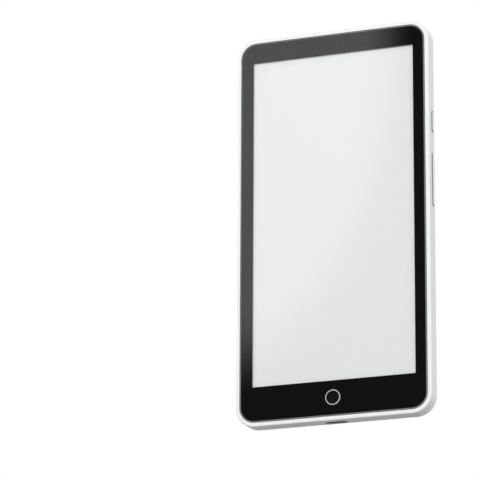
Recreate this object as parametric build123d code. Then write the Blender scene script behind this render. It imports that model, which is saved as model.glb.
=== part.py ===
"""Pocket e-reader with a paper-like display, side keys and a home key.

The reader stands on its bottom edge: X to its right seen from the front, Y from the front to the
back, Z up.  The origin is the middle of the bottom edge.  All sizes are in millimetres.  A "depth"
is the distance behind the front face, and the pieces are stacked by their depths.
"""
import os

from build123d import *

# --- Driving dimensions ---------------------------------------------------------------------------
# Body
body_width = 80.0
body_height = 159.0
body_depth = 7.6
corner_radius = 8.0
wall = 1.5                    # side walls of the rear housing
floor_thickness = 0.75        # rear wall of the housing, under the rear panel
front_edge_round = 0.6
rear_edge_round = 1.5
ring_depth = 1.6              # visible depth of the white front ring
seam_gap = 0.15               # parting line between the ring and the housing

# Front opening
lip = 1.6                     # white lip round the cover glass
side_bezel = 4.95             # black border beside the display window
top_bezel = 8.1
bottom_bezel = 14.2
home_height = 9.1             # home key's centre above the bottom edge

# Display stack, front to back
glass_thickness = 0.7
glass_edge_round = 0.35
border_thickness = 0.05
glass_tape = 0.10
touch_thickness = 0.2
guide_thickness = 0.4
ink_thickness = 0.3
backplane_thickness = 0.4
cushion_thickness = 0.3
chassis_thickness = 0.6
module_side = 1.7             # how far the display module reaches past the window, sideways
module_top = 5.25
module_bottom = 1.95
ink_side_step = 0.4           # ink film to the side of the module
film_top = 1.4                # light guide and ink film past the window's top
film_bottom = 0.5
backplane_step = 1.0          # backplane above the module's lower edge, behind the lamps
driver_width = 20.0
driver_height = 1.2
driver_offset = 1.8           # driver chip above the window
cushion_margin = 1.0
lamp_count = 7
lamp_length = 3.0
lamp_margin = 4.0             # first lamp's centre to the side of the module
lamp_gap = 0.3                # lamp to the lower edge of the module
lamp_guide_gap = 0.1
light_flex_margin = 1.0

# Clearances
glass_gap = 0.15
fit_gap = 0.15                # frame and chassis plate inside the housing's walls
module_gap = 0.15
key_gap = 0.22                # key cap in its slot
panel_gap = 0.25              # rear panel in its pocket
touch_off = 0.05              # small gap between pieces that nearly meet

# Rear panel
panel_thickness = 0.6
panel_tape = 0.1
panel_tape_margin = 0.5
panel_edge_round = 0.15
rear_rim = 2.1                # rim of the housing round the panel's pocket

# Screws through the housing into the front frame
screw_radius = 0.7
screw_hole_radius = 0.8
screw_head_radius = 1.3
screw_head_height = 0.6
screw_head_gap = 0.1
screw_drive_radius = 0.5
screw_tip_gap = 0.2           # screw tip to the bottom of its insert
thread_gap = 0.02
screw_seat = 1.2              # depth of the screw seat under the panel's floor
boss_radius = 1.9
insert_radius = 1.1
insert_length = 1.3
side_screw_inset = 3.25       # screw axis to the side of the body
lower_screw_inset = 8.0
lower_screw_height = 7.0
lower_side_screw_height = 42.0
key_screw_gap = 0.35          # rocker's flange to the boss below it
top_screw_drop = 10.0

# Keys on the right side
key_depth = 4.5               # depth of the keys' centre line
key_width = 2.2
key_proud = 0.45
key_round = 0.3
key_travel = 0.25
key_flange_thickness = 0.5
key_flange_gap = 0.1          # flange to the chassis plate and the rear wall
key_flange_reach = 0.8        # flange past the cap, along the side
flange_gap = 0.35             # flange to the inside of the wall
power_length = 8.6
power_drop = 41.5             # centre of the power key below the top edge
volume_length = 21.5
volume_drop = 65.2
rocker_nub_offset = 7.0
nub_radius = 0.7
nub_length = 0.3
nub_relief = 0.1              # flex hole and fulcrum against the nub's radius
dome_radius = 1.0
dome_height = 0.3
dome_round = 0.2
key_flex_thickness = 0.15
key_flex_half = 1.3
key_tail_height = 3.0
key_tail_above_board = 6.0    # lower edge of the tail above the board's lower edge
key_tail_reach = 6.0          # tail over the board
bracket_thickness = 0.5
bracket_foot = 2.3
bracket_screw_inset = 3.0

# Home key
home_cap_radius = 2.65
home_ring_width = 0.3
home_ring_gap = 0.06
home_flange_lip = 0.34        # flange past the bright ring
home_flange_gap = 0.5
home_flange_thickness = 0.25
home_stem_radius = 1.2
home_travel = 0.25
home_cap_round = 0.15
home_dome_radius = 2.0
home_dome_height = 0.35
home_dome_round = 0.25
home_pad_margin = 0.5
home_flex_thickness = 0.15

# Boards and what they carry
board_thickness = 0.8
board_side_gap = 4.7          # board's edge to the housing's inner wall
chip_thickness = 0.7
pad_thickness = 0.2
can_thickness = 0.2
can_wall = 0.2
graphite_thickness = 0.05
graphite_margin = 1.0
main_board_drop = 5.5         # board's top edge below the body's top
main_board_height = 32.0
sub_board_base = 2.3
sub_board_height = 17.0
sub_board_half_width = 27.0
standoff_radius = 1.5
board_screw_radius = 0.55
board_screw_hole = 0.65
board_screw_head_radius = 1.15
board_screw_head_height = 0.4
board_screw_inset = 3.0
board_drive_radius = 0.4
connector_height = 0.7
connector_depth = 2.2         # connector's size along the height of the reader
flex_thickness = 0.15
flex_rise_gap = 0.85          # top flexes above the module

# Places of the chips: left, right, and low and high above the main board's lower edge
processor_place = (-16.0, -4.0, 11.0, 23.0)
memory_place = (-2.0, 9.0, 11.0, 22.5)
storage_place = (12.5, 24.0, 14.0, 23.0)
power_chip_place = (13.5, 19.5, 2.5, 8.5)
display_power_place = (20.8, 24.8, 3.0, 7.0)
wireless_place = (-31.0, -21.0, 8.0, 18.0)
processor_shield_place = (-17.5, 10.5, 9.5, 24.0)
power_shield_place = (12.5, 25.8, 1.5, 9.5)
thermal_pad_place = (-15.0, -5.0, 12.0, 22.0)
storage_thickness = 0.9
power_chip_thickness = 0.6
wireless_thickness = 1.0
coil_size = 2.5
coil_height = 0.9
coil_centres = (2.0, 5.5, 9.0)
coil_row = 4.75               # coils' centre above the board's lower edge

# Flexes that end on the main board: left and right edges
display_strap = (-8.0, 20.0)
touch_strap = (-20.0, -13.0)
strap_bond = 1.6              # bonded length on the display's top edge
strap_end = 5.5               # end of the top flexes below the board's upper edge
battery_strap = (-20.0, -14.0)
link_strap = (-8.0, 0.0)
lower_strap_end = 6.5         # end of the lower flexes above the board's lower edge

# Aerial on the left wall
aerial_margin = 0.3
aerial_low = 2.0
aerial_drop = 9.0
aerial_tab = (14.0, 16.0)     # tab on the main board, above its lower edge
aerial_tab_reach = 2.0

# Tails of the flexes that pass through the chassis plate
top_slot_half_width = 24.0
light_tail_left = -19.0
light_tail_right = -15.0
light_tail_foot = 3.0
home_tail_reach = 8.2
home_tail_half_width = 1.0
slot_gap = 0.3

# Socket
socket_width = 8.94
socket_height = 3.16
socket_length = 6.6
socket_shell = 0.3
socket_base = 0.4             # mouth of the socket above the bottom edge
socket_gap = 0.15
tongue_width = 6.6
tongue_thickness = 0.7
tongue_length = 4.6
socket_back_wall = 0.8
wing_reach = 1.2
wing_low = 2.5                # solder wings below the inner end of the shell
wing_high = 0.5
microphone_width = 3.5
microphone_height = 2.7
microphone_thickness = 1.0
microphone_edge = 0.1
microphone_offset = -16.0
microphone_hole_radius = 0.5

# Battery
battery_side_gap = 5.5
battery_end_gap = 3.0
battery_tape = 0.1
battery_swell_gap = 0.3
battery_tape_half_width = 4.0
battery_tape_margin = 4.0
battery_edge_round = 0.8
protection_board_height = 4.0
protection_board_margin = 6.0
protection_board_raise = 0.4
battery_lead_drop = 1.5       # lead below the upper edge of the protection board
link_drop = 1.0               # link flex rises past the battery's ends by this much

# Small parts on the sub-board: left, right, low and high above its lower edge, thickness
sub_board_places = [
    (10.0, 13.0, 9.0, 12.0, 0.6),
    (15.0, 16.2, 9.0, 11.0, 0.5),
    (17.5, 18.7, 9.0, 11.0, 0.5),
]

# --- Depths and outlines that follow from them ----------------------------------------------------
glass_back = glass_thickness
border_back = glass_back + border_thickness
ledge_front = border_back + glass_tape
touch_back = border_back + touch_thickness
guide_back = touch_back + guide_thickness
ink_back = guide_back + ink_thickness
backplane_back = ink_back + backplane_thickness
chassis_front = backplane_back + cushion_thickness
chassis_back = chassis_front + chassis_thickness
panel_front = body_depth - panel_thickness
floor_back = panel_front - panel_tape
floor_front = floor_back - floor_thickness
can_back = floor_front - 2 * touch_off
board_back = can_back - can_thickness - pad_thickness - chip_thickness
board_front = board_back - board_thickness
battery_front = chassis_back + battery_tape
battery_back = floor_front - battery_swell_gap
link_front = battery_back + touch_off

inner_side = body_width / 2 - wall
glass_width = body_width - 2 * (lip + glass_gap)
window_left = -glass_width / 2 + side_bezel
window_right = -window_left
window_bottom = lip + glass_gap + bottom_bezel
window_top = body_height - lip - glass_gap - top_bezel
module_right = window_right + module_side
module_left = -module_right
module_low = window_bottom - module_bottom
module_high = window_top + module_top
flex_rise = module_high + flex_rise_gap
board_right = inner_side - board_side_gap
board_high = body_height - main_board_drop
board_low = board_high - main_board_height
sub_board_high = sub_board_base + sub_board_height
battery_right = inner_side - battery_side_gap
battery_low = sub_board_high + battery_end_gap
battery_high = board_low - battery_end_gap
power_height = body_height - power_drop
volume_height = body_height - volume_drop
socket_middle = (board_front + board_back) / 2
connector_back = board_back + connector_height
flex_back = connector_back + flex_thickness
lamp_high = window_bottom - film_bottom - lamp_guide_gap
home_ring_radius = home_cap_radius + home_ring_gap + home_ring_width
home_flange_radius = home_ring_radius + home_flange_lip
home_bore_radius = home_flange_radius + home_flange_gap
key_flange_half = min(key_depth - chassis_back, floor_front - key_depth) - key_flange_gap
rocker_low = volume_height - volume_length / 2 - key_flange_reach
upper_side_screw_height = rocker_low - key_screw_gap - boss_radius


# --- Helpers --------------------------------------------------------------------------------------
def y_at(depth):
    """Y of the plane that lies the given depth behind the front face."""
    return depth - body_depth / 2


def plate(outline, front, back):
    """Prism of an outline drawn in X and Z, filling the depths from front to back."""
    plane = Plane(origin=(0, y_at(front), 0), x_dir=(1, 0, 0), z_dir=(0, -1, 0))
    return extrude(plane * outline, front - back)


def side_plate(outline, start, end):
    """Prism of an outline drawn in Y and Z, filling X from start to end."""
    plane = Plane(origin=(start, 0, 0), x_dir=(0, 1, 0), z_dir=(1, 0, 0))
    return extrude(plane * outline, end - start)


def area(left, right, low, high):
    """Rectangle between two X values and two Z values."""
    return Pos((left + right) / 2, (low + high) / 2) * Rectangle(right - left, high - low)


def block(left, right, front, back, low, high):
    """Box between X limits, depths and Z limits."""
    return plate(area(left, right, low, high), front, back)


def disc(radius, x, z):
    """Circle in X and Z."""
    return Pos(x, z) * Circle(radius)


def round_bar(radius, x, z, front, back):
    """Cylinder along the depth."""
    return plate(disc(radius, x, z), front, back)


def side_bar(radius, depth, z, start, end):
    """Cylinder along X."""
    return side_plate(Pos(y_at(depth), z) * Circle(radius), start, end)


def inset_outline(inset):
    """The body's rounded outline, moved in all round."""
    corner = corner_radius - inset
    shape = RectangleRounded(body_width - 2 * inset, body_height - 2 * inset, corner)
    return Pos(0, body_height / 2) * shape


def pill(length, width, depth, z):
    """Round-ended outline along Z on the side of the body, drawn in Y and Z."""
    return Pos(y_at(depth), z) * Rot(0, 0, 90) * SlotOverall(length, width)


def rounded_at(solid, radius, axis_end):
    """Rounds the outline of the face that lies furthest along a signed axis."""
    face = solid.faces().sort_by(axis_end)[-1]
    return fillet(face.outer_wire().edges(), radius)


FORWARD = Axis((0, 0, 0), (0, -1, 0))
BACKWARD = Axis((0, 0, 0), (0, 1, 0))
OUTWARD = Axis((0, 0, 0), (1, 0, 0))


def case_screw_places():
    """X and Z of the screws that join the housing to the front frame."""
    side = body_width / 2 - side_screw_inset
    low = body_width / 2 - lower_screw_inset
    places = [(side, height) for height in (lower_side_screw_height, upper_side_screw_height)]
    places += [(side, body_height - top_screw_drop), (low, lower_screw_height)]
    return [(sign * x, z) for x, z in places for sign in (-1, 1)]


def main_board_screw_places():
    """X and Z of the screws of the main board."""
    side = board_right - board_screw_inset
    heights = (board_low + board_screw_inset, board_high - board_screw_inset)
    return [(sign * side, z) for z in heights for sign in (-1, 1)]


def sub_board_screw_places():
    """X and Z of the screws of the sub-board."""
    side = sub_board_half_width - board_screw_inset
    return [(sign * side, sub_board_high - board_screw_inset) for sign in (-1, 1)]


# --- Front: glass, black border and home key ------------------------------------------------------
def glass_outline(grow=0.0):
    """Outline of the cover glass."""
    return inset_outline(lip + glass_gap - grow)


def window_outline():
    """Clear window in the black border."""
    return area(window_left, window_right, window_bottom, window_top)


def cover_glass():
    """Glass with a softened front edge and a hole for the home key."""
    glass = rounded_at(plate(glass_outline(), 0, glass_back), glass_edge_round, FORWARD)
    return glass - round_bar(home_ring_radius, 0, home_height, 0, glass_back)


def border_film():
    """Black film behind the glass, open at the window and at the home key."""
    film = plate(glass_outline(), glass_back, border_back)
    film -= plate(window_outline(), glass_back, border_back)
    return film - round_bar(home_ring_radius, 0, home_height, glass_back, border_back)


def glass_tape_ring():
    """Double-sided tape that holds the glass on the frame's ledge."""
    tape = plate(glass_outline(), border_back, ledge_front)
    tape -= plate(display_opening(), border_back, ledge_front)
    return tape - round_bar(home_bore_radius, 0, home_height, border_back, ledge_front)


def home_ring():
    """Thin bright ring set into the hole of the glass, round the home key."""
    ring = round_bar(home_ring_radius, 0, home_height, 0, border_back)
    return ring - round_bar(home_cap_radius + home_ring_gap, 0, home_height, 0, border_back)


def home_button():
    """Key cap with the flange that keeps it behind the glass and the stem that presses the dome."""
    flange_front = border_back + touch_off
    flange_back = flange_front + home_flange_thickness
    stem_back = home_dome_front() - home_travel - touch_off
    cap = round_bar(home_cap_radius, 0, home_height, 0, flange_front)
    cap = rounded_at(cap, home_cap_round, FORWARD)
    cap += round_bar(home_flange_radius, 0, home_height, flange_front, flange_back)
    return cap + round_bar(home_stem_radius, 0, home_height, flange_back, stem_back)


def home_dome_front():
    """Depth of the top of the home key's dome."""
    return chassis_front - home_flex_thickness - home_dome_height


def home_dome():
    """Snap dome under the home key."""
    top = home_dome_front()
    dome = round_bar(home_dome_radius, 0, home_height, top, top + home_dome_height)
    return rounded_at(dome, home_dome_round, FORWARD)


def home_flex_outline():
    """Pad under the dome and the tail that leaves it to the right, in X and Z."""
    tail = area(0, home_tail_reach, home_height - home_tail_half_width, home_height + home_tail_half_width)
    return disc(home_dome_radius + home_pad_margin, 0, home_height) + tail


def home_flex():
    """Flex of the home key: pad, tail and the leg that reaches the sub-board."""
    flex = plate(home_flex_outline(), chassis_front - home_flex_thickness, chassis_front)
    return flex + block(home_tail_reach - flex_thickness, home_tail_reach,
                        chassis_front - home_flex_thickness, board_front,
                        home_height - home_tail_half_width, home_height + home_tail_half_width)


# --- Display stack --------------------------------------------------------------------------------
def display_opening():
    """Opening of the frame's ledge round the display module, with room for the top flexes."""
    opening = area(module_left - module_gap, module_right + module_gap,
                   module_low - module_gap, module_high + module_gap)
    return opening + area(-top_slot_half_width, top_slot_half_width, module_high, flex_rise + module_gap)


def touch_sensor():
    """Clear touch film behind the glass."""
    return block(module_left, module_right, border_back, touch_back, module_low, module_high)


def front_light_guide():
    """Clear plate that spreads the front light over the ink film."""
    return block(module_left, module_right, touch_back, guide_back,
                 window_bottom - film_bottom, window_top + film_top)


def front_light_leds():
    """Row of side-firing lamps along the bottom edge of the light guide."""
    first = module_left + lamp_margin
    pitch = (module_right - module_left - 2 * lamp_margin) / (lamp_count - 1)
    lamp = block(-lamp_length / 2, lamp_length / 2, touch_back, guide_back, module_low + lamp_gap, lamp_high)
    return Compound(children=[Pos(first + n * pitch, 0, 0) * lamp for n in range(lamp_count)])


def front_light_flex():
    """Strip that carries the lamps, with a tail through the chassis plate to the sub-board."""
    back = guide_back + flex_thickness
    strip = block(module_left + light_flex_margin, module_right - light_flex_margin, guide_back, back,
                  module_low, lamp_high)
    strip += block(light_tail_left, light_tail_right, back, board_front,
                   module_low, module_low + flex_thickness)
    return strip + block(light_tail_left, light_tail_right, board_front - flex_thickness, board_front,
                         module_low, module_low + light_tail_foot)


def ink_laminate():
    """Film of ink capsules: the light grey face seen through the window."""
    return block(module_left + ink_side_step, module_right - ink_side_step, guide_back, ink_back,
                 window_bottom - film_bottom, window_top + film_top)


def display_backplane():
    """Glass plate with the display's transistors, wider at the top where its driver sits."""
    return block(module_left, module_right, ink_back, backplane_back,
                 module_low + backplane_step, module_high)


def display_driver():
    """Bare driver chip on the top edge of the backplane."""
    low = window_top + driver_offset
    return block(-driver_width / 2, driver_width / 2, guide_back, ink_back, low, low + driver_height)


def front_strap(edges, start_depth):
    """Flex from the top edge of the display, over the chassis plate, to the back of the main board."""
    left, right = edges
    strap = block(left, right, start_depth, start_depth + flex_thickness, module_high - strap_bond, flex_rise)
    strap += block(left, right, start_depth, flex_back, flex_rise - flex_thickness, flex_rise)
    return strap + block(left, right, connector_back, flex_back, board_high - strap_end, flex_rise)


def display_flex():
    """Wide flex of the display."""
    return front_strap(display_strap, ink_back - flex_thickness)


def touch_flex():
    """Narrow flex of the touch film."""
    return front_strap(touch_strap, touch_back)


def display_cushion():
    """Foam sheet between the display and the chassis plate."""
    return block(module_left + cushion_margin, module_right - cushion_margin, backplane_back, chassis_front,
                 window_bottom + cushion_margin, window_top)


# --- Structure ------------------------------------------------------------------------------------
def front_frame():
    """White front ring with the ledge that carries the glass and the display."""
    frame = rounded_at(plate(inset_outline(0), 0, ring_depth), front_edge_round, FORWARD)
    frame += plate(inset_outline(wall + fit_gap), ring_depth, chassis_front)
    frame -= plate(glass_outline(glass_gap), 0, ledge_front)
    frame -= plate(display_opening(), ledge_front, chassis_front)
    frame -= round_bar(home_bore_radius, 0, home_height, ledge_front, chassis_front)
    tail_front = chassis_front - home_flex_thickness - touch_off
    tail_half = home_tail_half_width + slot_gap
    frame -= block(0, home_tail_reach + slot_gap, tail_front, chassis_front,
                   home_height - tail_half, home_height + tail_half)
    for x, z in case_screw_places():
        frame -= round_bar(insert_radius, x, z, chassis_front - insert_length, chassis_front)
    return frame


def threaded_inserts():
    """Brass inserts pressed into the back of the frame's ledge."""
    front = chassis_front - insert_length
    insert = round_bar(insert_radius, 0, 0, front, chassis_front)
    insert -= round_bar(screw_radius, 0, 0, front, chassis_front)
    return Compound(children=[Pos(x, 0, z) * insert for x, z in case_screw_places()])


def chassis_plate():
    """Stamped plate behind the display that stiffens the reader and carries battery and boards."""
    sheet = plate(inset_outline(wall + fit_gap), chassis_front, chassis_back)
    for x, z in case_screw_places():
        sheet -= round_bar(screw_hole_radius, x, z, chassis_front, chassis_back)
    sheet -= block(-top_slot_half_width, top_slot_half_width, chassis_front, chassis_back,
                   module_high, flex_rise + module_gap)
    sheet -= block(light_tail_left - slot_gap, light_tail_right + slot_gap, chassis_front, chassis_back,
                   module_low - slot_gap, module_low + flex_thickness + slot_gap)
    tail_half = home_tail_half_width + slot_gap
    sheet -= block(home_tail_reach - flex_thickness - slot_gap, home_tail_reach + slot_gap,
                   chassis_front, chassis_back, home_height - tail_half, home_height + tail_half)
    half = socket_width / 2 + socket_gap
    socket_front = socket_middle - socket_height / 2
    return sheet - block(-half, half, socket_front - touch_off, board_front,
                         0, socket_base + socket_length + socket_gap)


def socket_outline(grow=0.0):
    """Outline of the socket's shell, drawn in X and Y."""
    return Pos(0, y_at(socket_middle)) * SlotOverall(socket_width + 2 * grow, socket_height + 2 * grow)


def rear_housing():
    """White tray: side walls, rear wall, screw bosses, key slots and the socket's mouth."""
    shell = plate(inset_outline(0), ring_depth + seam_gap, body_depth)
    shell = rounded_at(shell, rear_edge_round, BACKWARD)
    shell -= plate(inset_outline(wall), ring_depth + seam_gap, floor_front)
    shell -= plate(inset_outline(rear_rim), floor_back, body_depth)
    seat = floor_back - screw_seat
    inside = plate(inset_outline(wall / 2), chassis_back, floor_front)
    for x, z in case_screw_places():
        shell += round_bar(boss_radius, x, z, chassis_back, floor_front) & inside
    for x, z in case_screw_places():
        shell -= round_bar(screw_hole_radius, x, z, chassis_back, seat)
        shell -= round_bar(screw_head_radius + screw_head_gap, x, z, seat, floor_back)
    middle = inner_side + wall / 2
    for length, height in ((power_length, power_height), (volume_length, volume_height)):
        slot = pill(length + 2 * key_gap, key_width + 2 * key_gap, key_depth, height)
        shell -= side_plate(slot, middle - wall, middle + wall)
    shell -= extrude(Plane.XY * socket_outline(socket_gap), wall)
    hole = Pos(microphone_offset, y_at(microphone_depth())) * Circle(microphone_hole_radius)
    return shell - extrude(Plane.XY * hole, wall)


def case_screws():
    """Flat-head screws under the rear panel."""
    seat = floor_back - screw_seat
    tip = chassis_front - insert_length + screw_tip_gap
    head_back = seat + screw_head_height
    screw = round_bar(screw_radius - thread_gap, 0, 0, tip, seat)
    screw += round_bar(screw_head_radius, 0, 0, seat, head_back)
    screw -= round_bar(screw_drive_radius, 0, 0, head_back - screw_head_height / 2, head_back)
    return Compound(children=[Pos(x, 0, z) * screw for x, z in case_screw_places()])


def panel_tape_sheet():
    """Adhesive sheet between the housing and the rear panel."""
    return plate(inset_outline(rear_rim + panel_gap + panel_tape_margin), floor_back, panel_front)


def rear_panel():
    """Textured panel let into the back."""
    panel = plate(inset_outline(rear_rim + panel_gap), panel_front, body_depth)
    return rounded_at(panel, panel_edge_round, BACKWARD)


# --- Side keys ------------------------------------------------------------------------------------
flange_outside = inner_side - flange_gap
flange_inside = flange_outside - key_flange_thickness
nub_end = flange_inside - nub_length
dome_outside = nub_end - key_travel - touch_off
dome_inside = dome_outside - dome_height
flex_inside = dome_inside - key_flex_thickness
bracket_inside = flex_inside - bracket_thickness


def key_cap(length, height, nub_heights):
    """Cap in its slot, with the flange that keeps it in and the nubs that press the domes."""
    cap = side_plate(pill(length, key_width, key_depth, height), flange_outside, body_width / 2 + key_proud)
    cap = rounded_at(cap, key_round, OUTWARD)
    flange = pill(length + 2 * key_flange_reach, 2 * key_flange_half, key_depth, height)
    cap += side_plate(flange, flange_inside, flange_outside)
    for z in nub_heights:
        cap += side_bar(nub_radius, key_depth, z, nub_end, flange_inside)
    return cap


def rocker_ends():
    """Heights of the two nubs of the volume rocker."""
    return [volume_height - rocker_nub_offset, volume_height + rocker_nub_offset]


def power_button():
    """Short key at the top of the right side."""
    return key_cap(power_length, power_height, [power_height])


def volume_rocker():
    """Long key below it, which tips either way."""
    return key_cap(volume_length, volume_height, rocker_ends())


def key_domes():
    """Snap domes under the side keys."""
    dome = side_bar(dome_radius, key_depth, 0, dome_inside, dome_outside)
    dome = rounded_at(dome, dome_round, OUTWARD)
    return Compound(children=[Pos(0, 0, z) * dome for z in [power_height] + rocker_ends()])


key_flex_low = volume_height - volume_length / 2
key_flex_high = power_height + power_length / 2


def key_flex_outline():
    """Face of the side flex, drawn in Y and Z."""
    middle = (key_flex_low + key_flex_high) / 2
    return Pos(y_at(key_depth), middle) * Rectangle(2 * key_flex_half, key_flex_high - key_flex_low)


def side_key_flex():
    """Flex with the side keys' contacts, folded over to the back of the main board."""
    flex = side_plate(key_flex_outline(), flex_inside, dome_inside)
    flex -= side_bar(nub_radius + nub_relief, key_depth, volume_height, flex_inside, dome_inside)
    tail_low = board_low + key_tail_above_board
    tail_high = tail_low + key_tail_height
    flex += block(flex_inside, dome_inside, key_depth, flex_back, key_flex_high - key_tail_height, tail_high)
    return flex + block(board_right - key_tail_reach, dome_inside, connector_back, flex_back,
                        tail_low, tail_high)


def side_key_bracket():
    """Steel angle that backs the side flex, with the fulcrum of the rocker."""
    low = key_flex_low
    high = key_flex_high
    bracket = block(bracket_inside, flex_inside, chassis_back, key_depth + key_flex_half, low, high)
    bracket += block(bracket_inside - bracket_foot, bracket_inside, chassis_back,
                     chassis_back + bracket_thickness, low, high)
    bracket += side_bar(nub_radius - nub_relief, key_depth, volume_height,
                        flex_inside, flange_inside - touch_off)
    for z in bracket_screw_heights():
        bracket -= round_bar(board_screw_hole, bracket_screw_x(), z,
                             chassis_back, chassis_back + bracket_thickness)
    return bracket


def bracket_screw_x():
    """X of the screws in the bracket's foot."""
    return bracket_inside - bracket_foot / 2


def bracket_screw_heights():
    """Heights of the screws in the bracket's foot."""
    return [key_flex_low + bracket_screw_inset, key_flex_high - bracket_screw_inset]


def small_screw(x, z, seat, tip):
    """Small pan-head screw driven from the back, seated at one depth and ending at another."""
    head_back = seat + board_screw_head_height
    screw = round_bar(board_screw_radius, x, z, tip, seat)
    screw += round_bar(board_screw_head_radius, x, z, seat, head_back)
    return screw - round_bar(board_drive_radius, x, z, head_back - board_screw_head_height / 2, head_back)


def bracket_screws():
    """Screws of the side key bracket."""
    seat = chassis_back + bracket_thickness
    x = bracket_screw_x()
    return Compound(children=[small_screw(x, z, seat, chassis_back) for z in bracket_screw_heights()])


# --- Battery --------------------------------------------------------------------------------------
def battery_cell():
    """Flat lithium pouch cell."""
    outline = area(-battery_right, battery_right, battery_low, battery_high - protection_board_height)
    cell = plate(outline, battery_front, battery_back)
    return fillet(cell.edges().filter_by(Axis.Z), battery_edge_round)


def battery_tapes():
    """Two pull-out adhesive strips under the cell."""
    high = battery_high - protection_board_height - battery_tape_margin
    strip = block(-battery_tape_half_width, battery_tape_half_width, chassis_back, battery_front,
                  battery_low + battery_tape_margin, high)
    return Compound(children=[Pos(sign * battery_right / 2, 0, 0) * strip for sign in (-1, 1)])


def protection_board():
    """Small board on the top fold of the cell."""
    front = battery_front + protection_board_raise
    half = battery_right - protection_board_margin
    low = battery_high - protection_board_height
    return block(-half, half, front, front + board_thickness, low, battery_high)


def battery_lead():
    """Flat lead from the protection board to its connector on the main board."""
    left, right = battery_strap
    front = battery_front + protection_board_raise + board_thickness
    low = battery_high - battery_lead_drop
    lead = block(left, right, front, flex_back, low, low + flex_thickness)
    return lead + block(left, right, connector_back, flex_back, low, board_low + lower_strap_end)


# --- Main board -----------------------------------------------------------------------------------
def on_board(left, right, low, high, height=chip_thickness):
    """Box that stands on the back of a board."""
    return block(left, right, board_back, board_back + height, low, high)


def main_board_chip(place, height=chip_thickness):
    """Chip at its place above the main board's lower edge."""
    left, right, low, high = place
    return on_board(left, right, board_low + low, board_low + high, height)


def main_board():
    """Upper circuit board."""
    board = plate(area(-board_right, board_right, board_low, board_high), board_front, board_back)
    for x, z in main_board_screw_places():
        board -= round_bar(board_screw_hole, x, z, board_front, board_back)
    return board


def processor_chip():
    """Main processor."""
    return main_board_chip(processor_place)


def memory_chip():
    """Working memory."""
    return main_board_chip(memory_place)


def storage_chip():
    """Storage for the books."""
    return main_board_chip(storage_place, storage_thickness)


def power_chip():
    """Charging and power control."""
    return main_board_chip(power_chip_place, power_chip_thickness)


def display_power_chip():
    """Source of the display's drive voltages."""
    return main_board_chip(display_power_place, power_chip_thickness)


def power_coils():
    """Coils of the power converters."""
    half = coil_size / 2
    coil = main_board_chip((-half, half, coil_row - half, coil_row + half), coil_height)
    return Compound(children=[Pos(x, 0, 0) * coil for x in coil_centres])


def wireless_module():
    """Shielded radio module by the aerial."""
    return main_board_chip(wireless_place, wireless_thickness)


def can(place):
    """Folded shield: walls and a lid, open to the board."""
    left, right, low, high = place
    inside = (left + can_wall, right - can_wall, low + can_wall, high - can_wall)
    height = can_back - board_back
    return main_board_chip(place, height) - main_board_chip(inside, height - can_thickness)


def processor_shield():
    """Shield over processor and memory."""
    return can(processor_shield_place)


def power_shield():
    """Shield over the power chips."""
    return can(power_shield_place)


def thermal_pad():
    """Soft pad from the processor to its shield."""
    left, right, low, high = thermal_pad_place
    front = board_back + chip_thickness
    return block(left, right, front, front + pad_thickness, board_low + low, board_low + high)


def graphite_sheet():
    """Heat spreader on the processor's shield."""
    left, right, low, high = processor_shield_place
    return block(left + graphite_margin, right - graphite_margin, can_back, can_back + graphite_thickness,
                 board_low + low + graphite_margin, board_low + high - graphite_margin)


def board_connectors():
    """Connectors of the display, touch film, battery, link and side keys."""
    top_low = board_high - strap_end
    low_high = board_low + lower_strap_end
    key_left = board_right - key_tail_reach
    key_low = board_low + key_tail_above_board
    rows = [(*edges, top_low, top_low + connector_depth) for edges in (display_strap, touch_strap)]
    rows += [(*edges, low_high - connector_depth, low_high) for edges in (battery_strap, link_strap)]
    rows += [(key_left, key_left + connector_depth, key_low, key_low + key_tail_height)]
    return Compound(children=[on_board(*row, connector_height) for row in rows])


def board_standoffs():
    """Threaded standoffs pressed onto the chassis plate under both boards."""
    post = round_bar(standoff_radius, 0, 0, chassis_back, board_front)
    post -= round_bar(board_screw_radius + thread_gap, 0, 0, chassis_back, board_front)
    places = main_board_screw_places() + sub_board_screw_places()
    return Compound(children=[Pos(x, 0, z) * post for x, z in places])


def board_screws():
    """Screws of both boards."""
    places = main_board_screw_places() + sub_board_screw_places()
    tip = chassis_back + screw_tip_gap
    return Compound(children=[small_screw(x, z, board_back, tip) for x, z in places])


def aerial():
    """Flex aerial on the housing's left wall with a tab on the main board."""
    outside = -inner_side
    tab_low, tab_high = aerial_tab
    leaf = block(outside, outside + flex_thickness, chassis_back + aerial_margin, floor_front - aerial_margin,
                 board_low + aerial_low, board_high - aerial_drop)
    return leaf + block(outside, aerial_tab_reach - board_right, board_back, board_back + flex_thickness,
                        board_low + tab_low, board_low + tab_high)


# --- Sub-board and socket -------------------------------------------------------------------------
def sub_board():
    """Lower circuit board, notched round the socket."""
    outline = area(-sub_board_half_width, sub_board_half_width, sub_board_base, sub_board_high)
    half = socket_width / 2 + touch_off
    board = plate(outline, board_front, board_back)
    board -= block(-half, half, board_front, board_back, 0, socket_base + socket_length + touch_off)
    for x, z in sub_board_screw_places():
        board -= round_bar(board_screw_hole, x, z, board_front, board_back)
    return board


def socket_shell_tube():
    """Steel shell of the charging socket, closed at its inner end, with its two solder wings."""
    mouth = Plane.XY.offset(socket_base)
    reach = socket_width / 2 + wing_reach
    high = socket_base + socket_length
    tube = extrude(mouth * socket_outline(), socket_length)
    tube += block(-reach, reach, board_back, board_back + socket_shell, high - wing_low, high - wing_high)
    return tube - extrude(mouth * socket_outline(-socket_shell), socket_length - socket_back_wall)


def socket_tongue():
    """Contact tongue in the middle of the socket."""
    high = socket_base + socket_length - socket_back_wall
    half = tongue_thickness / 2
    return block(-tongue_width / 2, tongue_width / 2, socket_middle - half, socket_middle + half,
                 high - tongue_length, high)


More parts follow.
